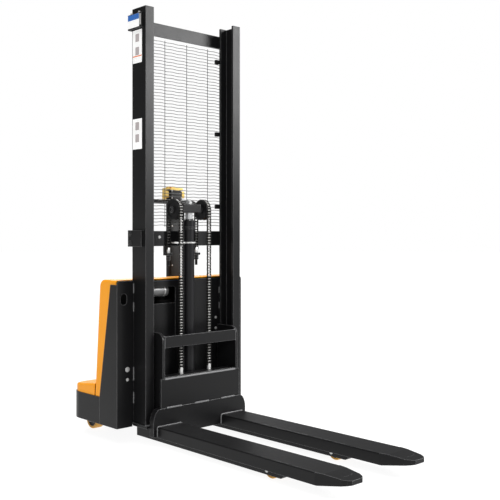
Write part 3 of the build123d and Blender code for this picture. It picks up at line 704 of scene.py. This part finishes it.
def rollerShields():
    s = shieldSetup
    bore, radius = s["bore"], s["radius"]
    outline = [(bore, 0), (radius, 0), (radius, 0.8), (radius - 3, 1.2), (bore + 2, 1.2), (bore, 0.8),
               (bore, 0)]
    for side, word in ((-1, "Right"), (1, "Left")):
        for level, z in s["levels"].items():
            shield = turned(outline, (side * s["x"], s["y"], z), "X", 32, side < 0)
            body = "roller_" + level.lower() + "_" + word.lower()
            finished(shield, "rollerShield" + level + word, "ground", body)
    print("roller shields made")


# weld beads on the carriage, the forks and the front panels


weldSetup = {
    "pitch": 4.2, "segments": 10, "rings": 6, "flat": 0.62, "uneven": (0.9, 1.12),
    "forkX": 200, "forkHalf": 69, "forkSide": 72.5, "forkY": -51.5, "forkTop": 92.5, "forkRise": (50, 90),
    "heelX": (-172, 0, 172), "heelHalf": 42, "heelY": -51, "heelZ": 175,
    "plateX": 240.5, "plateY": -41, "plateLow": (205, 270), "plateRun": 30,
    "barX": 227, "barEdges": (459, 513), "barY": (-38, -49), "barFaceY": -50, "barRise": (465, 508),
    "lip": ((-226, 226), (-51, -41), (307, 315.5)),
    "wingX": 305, "wingY": 94.5, "wingRuns": ((718, 760), (630, 670), (300, 360), (190, 240)),
    "wallX": 253, "wallY": 107.5, "wallRuns": ((690, 720), (610, 640), (330, 360)),
    "footX": 281, "footRun": (-24, 22), "footY": -0.5, "footZ": 95.5,
    "crossbarX": 270, "crossbarHalf": 14, "crossbarEdges": (1977, 2040, 940, 1015),
}


# Beads are drawn in the lighter weld grey, which is a painted highlight.
def weldBead(start, end, width):
    w = weldSetup
    start, end = spot(*start), spot(*end)
    span = end - start
    count = max(2, round(span.length / (w["pitch"] * mm)))
    drops = []
    for index in range(count + 1):
        size = width / 2 * random.uniform(*w["uneven"]) * mm
        bpy.ops.mesh.primitive_uv_sphere_add(segments=w["segments"], ring_count=w["rings"], radius=size,
                                             location=start + span * index / count)
        drop = bpy.context.object
        drop.rotation_euler = span.normalized().to_track_quat("Z", "Y").to_euler()
        drop.scale.z = w["flat"]
        drops.append(applied(drop))
    return joined(*drops)


def forkWelds():
    w = weldSetup
    beads = []
    for x in (-w["forkX"], w["forkX"]):
        y, half, (low, high) = w["forkY"], w["forkHalf"], w["forkRise"]
        beads.append(weldBead((x - half, y, w["forkTop"]), (x + half, y, w["forkTop"]), 9))
        for side in (-w["forkSide"], w["forkSide"]):
            beads.append(weldBead((x + side, y, low), (x + side, y, high), 8))
    finished(joined(*beads), "forkWelds", "weldHighlight", "carriage", 60)


def carriageWelds():
    w = weldSetup
    beads = []
    for x in w["heelX"]:
        beads.append(weldBead((x - w["heelHalf"], w["heelY"], w["heelZ"]),
                              (x + w["heelHalf"], w["heelY"], w["heelZ"]), 9))
    for side in (-1, 1):
        x = side * w["plateX"]
        for low in w["plateLow"]:
            beads.append(weldBead((x, w["plateY"], low), (x, w["plateY"], low + w["plateRun"]), 5))
        x, (back, front) = side * w["barX"], w["barY"]
        for z in w["barEdges"]:
            beads.append(weldBead((x, back, z), (x, front, z), 5))
        x, y, (low, high) = side * (w["barX"] + 0.5), w["barFaceY"], w["barRise"]
        beads.append(weldBead((x, y, low), (x, y, high), 4.5))
    finished(joined(*beads), "carriageWelds", "weldHighlight", "carriage", 60)
    # The lower plate's rounded top lip is drawn in the lighter weld grey: a painted highlight along that top
    # edge.
    finished(softBox(*w["lip"], 2.5, 3), "lowerPlateLipHighlight", "weldHighlight", "carriage")


def chassisWelds():
    w = weldSetup
    beads = []
    for low, high in w["wingRuns"]:
        for x in (-w["wingX"], w["wingX"]):
            beads.append(weldBead((x, w["wingY"], low), (x, w["wingY"], high), 7))
    for low, high in w["wallRuns"]:
        for x in (w["wallX"], -w["wallX"]):
            beads.append(weldBead((x, w["wallY"], low), (x, w["wallY"], high), 7))
    for x in (-w["footX"], w["footX"]):
        first, last = w["footRun"]
        beads.append(weldBead((x + first, w["footY"], w["footZ"]), (x + last, w["footY"], w["footZ"]), 6))
    for z in w["crossbarEdges"]:
        for x in (-w["crossbarX"], w["crossbarX"]):
            half = w["crossbarHalf"]
            beads.append(weldBead((x - half, 108, z), (x + half, 108, z), 4.5))
    finished(joined(*beads), "chassisWelds", "weldHighlight", "chassis", 60)
    print("welds laid")


# blank labels: plain plates and shapes, no wording and no symbols


labelSetup = {
    "webX": -303.4, "y": (30, 104), "upper": (1817, 1975), "lower": (1405, 1550), "blockHalf": (15, 19),
    "blockShares": (0.36, 0.76), "lineZ": (1847, 1852), "faceX": -315.2, "faceY": (36, 127),
    "faceZ": (1986, 2049), "bandZ": (2022, 2048.6), "plateY": (22, 31), "plateZ": (1992, 2044),
}


def labels():
    s = labelSetup
    x = (s["webX"] - 0.25, s["webX"] + 0.5)
    raised = (x[0] - 0.25, x[1])
    middle = sum(s["y"]) / 2
    wide, tall = s["blockHalf"]
    plates, blocks = [], []
    for low, high in (s["upper"], s["lower"]):
        plates.append(softBox(x, s["y"], (low, high), 0.2, 1))
        for share in s["blockShares"]:
            z = low + (high - low) * share
            blocks.append(softBox(raised, (middle - wide, middle + wide), (z - tall, z + tall), 0.15, 1))
    finished(joined(*plates), "blankLabels", "labelWhite", "chassis")
    finished(joined(*blocks), "labelBlocks", "labelGrey", "chassis")
    line = softBox((raised[0] - 0.1, raised[1]), (s["y"][0] + 2, s["y"][1] - 2), s["lineZ"], 0.1, 1)
    finished(line, "labelLine", "labelOrange", "chassis")
    face = (s["faceX"] - 0.5, s["faceX"] + 0.3)
    finished(softBox(face, s["faceY"], s["faceZ"], 0.2, 1), "blankTopLabel", "labelWhite", "chassis")
    band = softBox((face[0] - 0.3, face[1]), (s["faceY"][0] + 1, s["faceY"][1] - 1), s["bandZ"], 0.1, 1)
    finished(band, "topLabelBand", "labelBlue", "chassis")
    finished(softBox((face[0] - 1.5, face[1]), s["plateY"], s["plateZ"], 0.5, 2), "bracketPlate", "zinc",
             "chassis")
    print("blank labels placed")


# tiller head, handle and column


tillerSetup = {
    "x": 170, "y": 390,
    "gripX": 165, "gripZ": 1112, "gripRibs": 9, "gripRadii": (14.5, 13.4), "gripPitch": 4,
    "wingX": (44, 64.6), "wingY": (373.2, 398.8), "wingZ": 1201, "wingRibs": 6, "wingPitch": 5.6,
    "visorHalf": 42, "visorY": (358.8, 364), "visorZ": (1236, 1251),
    "seamHalf": 42.3, "seamY": (397.2, 398.8), "seamZ": (1188.2, 1241.8),
    "headScrewX": (-32, 32), "headScrewY": 362, "headScrewZ": (1196, 1233),
    "columnHalf": 33, "columnY": (368.6, 372.4), "columnZ": (590, 1060),
    "columnScrewX": (-25, 25), "columnScrewY": 368.8, "columnScrewZ": (606, 830, 1044),
    "pivotX": 76, "pivotZ": 440,
}
chargeSetup = {"half": 20, "y": (435.6, 437), "z": (1192, 1200), "lamps": 5, "first": -14, "pitch": 7,
               "lampHalf": 2.2, "lampY": (436.8, 437.5), "lampZ": (1194, 1198)}


def handleGrips():
    t = tillerSetup
    outer, inner = t["gripRadii"]
    profile = [(11.1, 26), (13.5, 26), (outer, 24)]
    for index in range(t["gripRibs"]):
        z = 22 - index * t["gripPitch"]
        profile += [(outer, z), (inner, z - 0.8), (inner, z - 2.4), (outer, z - 3.2)]
    profile += [(outer, -16), (13, -19), (0, -19.4)]
    grips = [turned(profile, (t["x"] + side * t["gripX"], t["y"], t["gripZ"]), "Z", 28) for side in (-1, 1)]
    finished(joined(*grips), "handleGrips", "blackPlastic", "tiller")


def tillerHead():
    t = tillerSetup
    middle = t["x"]
    ribs = []
    for side in (-1, 1):
        x = sorted(middle + side * reach for reach in t["wingX"])
        for index in range(t["wingRibs"]):
            z = t["wingZ"] + index * t["wingPitch"]
            ribs.append(softBox(x, t["wingY"], (z - 1, z + 1), 0.7, 2))
    finished(joined(*ribs), "wingRibs", "paleYellow", "throttle", 35, ())
    visor = softBox((middle - t["visorHalf"], middle + t["visorHalf"]), t["visorY"], t["visorZ"], 2, 3)
    finished(visor, "headVisor", "paleYellow", "tiller", 35, ())
    seam = softBox((middle - t["seamHalf"], middle + t["seamHalf"]), t["seamY"], t["seamZ"], 0.3, 1)
    finished(seam, "headSeam", "blackPlastic", "tiller")
    screws = [capScrew((middle + x, t["headScrewY"], z), "Y", 3.4, 1.6, -1)
              for x in t["headScrewX"] for z in t["headScrewZ"]]
    finished(joined(*screws), "headScrews", "zinc", "tiller")


def tillerColumn():
    t = tillerSetup
    middle = t["x"]
    plate = softBox((middle - t["columnHalf"], middle + t["columnHalf"]), t["columnY"], t["columnZ"], 1.2, 2)
    finished(plate, "columnCover", "tiller", "tiller", 35, ())
    screws = [capScrew((middle + x, t["columnScrewY"], z), "Y", 4, 1.6, -1)
              for x in t["columnScrewX"] for z in t["columnScrewZ"]]
    finished(joined(*screws), "columnScrews", "zinc", "tiller")
    cap = [(0, 0), (12, 0), (12, 2.5), (10, 4), (4, 4), (3.5, 2.5), (0, 2.5)]
    pins = [turned(cap, (middle + side * t["pivotX"], t["y"], t["pivotZ"]), "X", 24, side < 0)
            for side in (-1, 1)]
    finished(joined(*pins), "tillerPivotCaps", "zinc", "drive")


def chargeGauge():
    g, middle = chargeSetup, tillerSetup["x"]
    window = softBox((middle - g["half"], middle + g["half"]), g["y"], g["z"], 0.5, 2)
    finished(window, "chargeWindow", "screen", "tiller")
    lamps = []
    for index in range(g["lamps"]):
        x = middle + g["first"] + index * g["pitch"]
        lamps.append(softBox((x - g["lampHalf"], x + g["lampHalf"]), g["lampY"], g["lampZ"], 0.3, 1))
    finished(joined(*lamps), "chargeLamps", "lampGreen", "tiller")
    print("tiller detailed")


# rear cover: lining, switch bezels, vents, gauge, screws and the boot round the tiller foot


coverSetup = {"topRear": 252.6, "lowRear": 297.2, "top": 780, "low": 208}


def coverRear(z):
    c = coverSetup
    return c["topRear"] + (c["lowRear"] - c["topRear"]) * (c["top"] - z) / (c["top"] - c["low"])


linerSetup = {"half": 388, "wall": 2, "front": 118, "back": 242, "low": 380, "top": 760,
              "shield": ((-232, -33), (112.3, 114), (462, 655))}


def coverLiner():
    s = linerSetup
    half, wall, tall = s["half"], s["wall"], (s["low"], s["top"])
    depth = (s["front"], s["back"] - s["wall"])
    sheets = [softBox((-half, half), (s["back"] - wall, s["back"]), tall, 0.5, 1),
              softBox((-half, half), depth, (s["top"] - wall, s["top"]), 0.5, 1)]
    for side in (-1, 1):
        sheets.append(softBox((side * half, side * (half - wall)), depth, tall, 0.5, 1))
    finished(joined(*sheets), "coverLiner", "blackPlastic", "chassis")
    finished(softBox(*s["shield"], 0.4, 1), "windowShield", "black", "chassis")
    print("cover lined")


switchSetup = {
    "z": 690, "stopX": -70, "keyX": -150, "proud": 8, "bowHalf": 1.2, "bowReach": (12, 34.6),
    "bowZ": (677.5, 702.5), "gaugeX": (30, 110), "gaugeZ": (664, 716), "screenX": (36, 104),
    "screenZ": (670, 710),
}


def coverSwitches():
    s = switchSetup
    y = coverRear(s["z"])
    ring = [(20.5, 0), (29, 0), (29.5, 1), (29, 2.2), (26, 2.6), (22, 1.4), (20.5, 1.2), (20.5, 0)]
    bezel = turned(ring, (s["stopX"], y + s["proud"], s["z"]), "Y", 40)
    finished(bezel, "estopBezel", "blackPlastic", "chassis")
    ring = [(7, 0), (15, 0), (15.4, 1.2), (13.6, 2.6), (8.6, 2.6), (7, 1.4), (7, 0)]
    finished(turned(ring, (s["keyX"], y + s["proud"], s["z"]), "Y", 32), "keyBezel", "zinc", "chassis")
    near, far = s["bowReach"]
    bow = softBox((s["keyX"] - s["bowHalf"], s["keyX"] + s["bowHalf"]), (y + near, y + far), s["bowZ"], 0.6)
    finished(bow, "keyBowPlate", "zinc", "key")


ventSetup = {"x": (-330, -180), "top": 560, "pitch": 13, "rows": 9, "half": 3,
             "screwX": (-360, 360), "screwZ": (720, 470, 320)}


def coverVents():
    v = ventSetup
    vents = []
    for index in range(v["rows"]):
        z = v["top"] - index * v["pitch"]
        y = coverRear(z)
        vents.append(softBox(v["x"], (y - 1.2, y + 1.4), (z - v["half"], z + v["half"]), 1.1, 2))
    finished(joined(*vents), "ventLouvers", "blackPlastic", "chassis")
    screws = [capScrew((x, coverRear(z) - 0.4, z), "Y", 6, 3, 1) for x in v["screwX"] for z in v["screwZ"]]
    finished(joined(*screws), "coverScrews", "zinc", "chassis")


def coverGauge():
    s = switchSetup
    y = coverRear(s["z"])
    finished(softBox(s["gaugeX"], (y - 2, y + 3), s["gaugeZ"], 3, 3), "gaugeFrame", "blackPlastic",
             "chassis")
    finished(softBox(s["screenX"], (y + 2.4, y + 3.6), s["screenZ"], 1, 2), "gaugeScreen", "screen",
             "chassis")


bootSetup = {"x": 170, "y": 390, "z": 322, "screws": 6, "screwRing": 89, "screwZ": 329}


def tillerBoot():
    b = bootSetup
    folds = [(86, 0), (90, 3), (88, 8), (84, 10), (88, 14), (84, 18), (78, 20), (72, 22), (68, 22),
             (68, 12), (82, 2), (86, 0)]
    finished(turned(folds, (b["x"], b["y"], b["z"]), "Z", 56), "tillerBoot", "blackPlastic", "chassis")
    screws = []
    for index in range(b["screws"]):
        angle = math.tau * (index + 0.5) / b["screws"]
        x, y = b["x"] + b["screwRing"] * math.cos(angle), b["y"] + b["screwRing"] * math.sin(angle)
        screws.append(capScrew((x, y, b["screwZ"]), "Z", 2.2, 2, 1))
    finished(joined(*screws), "collarScrews", "zinc", "chassis")
    print("rear cover detailed")


# electric and hydraulic gear seen through the bulkhead window


gearSetup = {
    "capPlace": (-220, 190, 636), "canMiddle": -142.5, "canY": 146, "canZ": 716, "canHalf": 73,
    "canRadius": 28.3, "fittingX": (-62, -69.5), "strapX": (-190, -95), "studX": (-84, -56), "studY": 186,
    "studZ": 684, "finX": (72, 228), "finY": (175.4, 177.6), "finLow": 445, "finPitch": 14, "fins": 11,
    "finThick": 3,
}


def gearDetails():
    g = gearSetup
    cap = [(0, 0), (15, 0), (16.5, 2), (16.5, 10), (14, 13), (0, 13)]
    finished(turned(cap, g["capPlace"], "Z", 28), "tankCap", "blackPlastic", "chassis")
    half, radius, y, z = g["canHalf"], g["canRadius"], g["canY"], g["canZ"]
    can = [(0, -half), (24, -half), (radius, 5 - half), (radius, half - 5), (24, half), (0, half)]
    finished(turned(can, (g["canMiddle"], y, z), "X", 40), "canisterBody", "canister", "chassis")
    outer, inner = g["fittingX"]
    fitting = [turned([(0, 0), (9, 0), (9, 3), (7.5, 4.5), (0, 4.5)], (outer, y, z), "X", 24),
               turned([(11.2, 0), (14, 0), (14, 2.5), (11.2, 2.5), (11.2, 0)], (inner, y, z), "X", 24)]
    finished(joined(*fitting), "canisterFitting", "zinc", "chassis")
    strap = [(28.2, -4), (29.6, -4), (29.6, 4), (28.2, 4), (28.2, -4)]
    straps = [turned(strap, (x, y, z), "X", 36) for x in g["strapX"]]
    finished(joined(*straps), "canisterStraps", "zinc", "chassis")
    studs = [hexBolt((x, g["studY"], g["studZ"]), "Z", 8, 5, 1) for x in g["studX"]]
    finished(joined(*studs), "motorStuds", "zinc", "chassis")
    rows = [g["finLow"] + g["finPitch"] * index for index in range(g["fins"])]
    fins = [softBox(g["finX"], g["finY"], (row, row + g["finThick"]), 0.8, 1) for row in rows]
    finished(joined(*fins), "controllerFins", "battery", "chassis")
    print("inner gear detailed")


# camera, lights and floor


cameraSetup = {
    "x": -2.5966, "back": 3.1214, "height": 1.0026, "turn": -42.945,
    "lens": 58.73, "shiftX": 0.01874, "shiftY": -0.03307,
}
lightSetup = [
    {"name": "frontBox", "place": (3.0, -3.3, 2.9), "aim": (0.1, 0.3, 1.5), "size": 2.2, "power": 265},
    {"name": "nearFill", "place": (-3.4, -2.9, 2.4), "aim": (-0.2, 0.3, 0.8), "size": 1.8, "power": 60},
    {"name": "rearFill", "place": (2.4, 4.4, 3.2), "aim": (0, 0.5, 0.9), "size": 2.4, "power": 110},
]
skySetup = {"ambient": 0.20, "overhead": 2.75, "spread": 70}


def aimed(place, target):
    return (Vector(target) - Vector(place)).to_track_quat("-Z", "Y").to_euler()


def studio():
    view = bpy.data.cameras.new("camera")
    holder = bpy.data.objects.new("camera", view)
    bpy.context.collection.objects.link(holder)
    holder.location = (cameraSetup["x"], mastFront - cameraSetup["back"], cameraSetup["height"])
    holder.rotation_euler = (math.radians(90), 0, math.radians(cameraSetup["turn"]))
    view.sensor_width = 36
    view.lens = cameraSetup["lens"]
    view.shift_x = cameraSetup["shiftX"]
    view.shift_y = cameraSetup["shiftY"]
    bpy.context.scene.camera = holder
    for lamp in lightSetup:
        data = bpy.data.lights.new(lamp["name"], "AREA")
        data.shape = "DISK"
        data.size = lamp["size"]
        data.energy = lamp["power"]
        light = bpy.data.objects.new(lamp["name"], data)
        light.location = lamp["place"]
        light.rotation_euler = aimed(lamp["place"], lamp["aim"])
        bpy.context.collection.objects.link(light)
    sky = bpy.data.lights.new("overhead", "SUN")
    sky.energy = skySetup["overhead"]
    sky.angle = math.radians(skySetup["spread"])
    overhead = bpy.data.objects.new("overhead", sky)
    bpy.context.collection.objects.link(overhead)
    world = bpy.data.worlds.new("studio")
    bpy.context.scene.world = world
    world.use_nodes = True
    tree = world.node_tree
    seen = tree.nodes.new("ShaderNodeLightPath")
    level = tree.nodes.new("ShaderNodeMix")
    level.inputs["A"].default_value = skySetup["ambient"]
    level.inputs["B"].default_value = 1.0
    tree.links.new(seen.outputs["Is Camera Ray"], level.inputs["Factor"])
    tree.links.new(level.outputs["Result"], tree.nodes["Background"].inputs["Strength"])
    tree.nodes["Background"].inputs["Color"].default_value = (1, 1, 1, 1)
    bpy.ops.mesh.primitive_circle_add(vertices=64, radius=40, fill_type="NGON", location=(0, 0, 0))
    floor = bpy.context.object
    floor.name = "floor"
    finish = Finish("paleFloor")
    finish.set(Base_Color=finish.mixed(finish.noise(0.6, 2), grey(0.14), grey(0.16)), Roughness=0.9,
               Specular_IOR_Level=0.1, Emission_Color=grey(1.0), Emission_Strength=0.93)
    floor.data.materials.append(finish.material)
    bpy.context.scene.view_settings.view_transform = "Standard"
    print("camera, lights and floor set")


studio()
backGuard()
liftChains()
wheels()
frameBolts()
liftCylinder()
rearAnchors()
rollerShields()
forkWelds()
carriageWelds()
chassisWelds()
labels()
handleGrips()
tillerHead()
tillerColumn()
chargeGauge()
coverLiner()
coverSwitches()
coverVents()
coverGauge()
tillerBoot()
gearDetails()
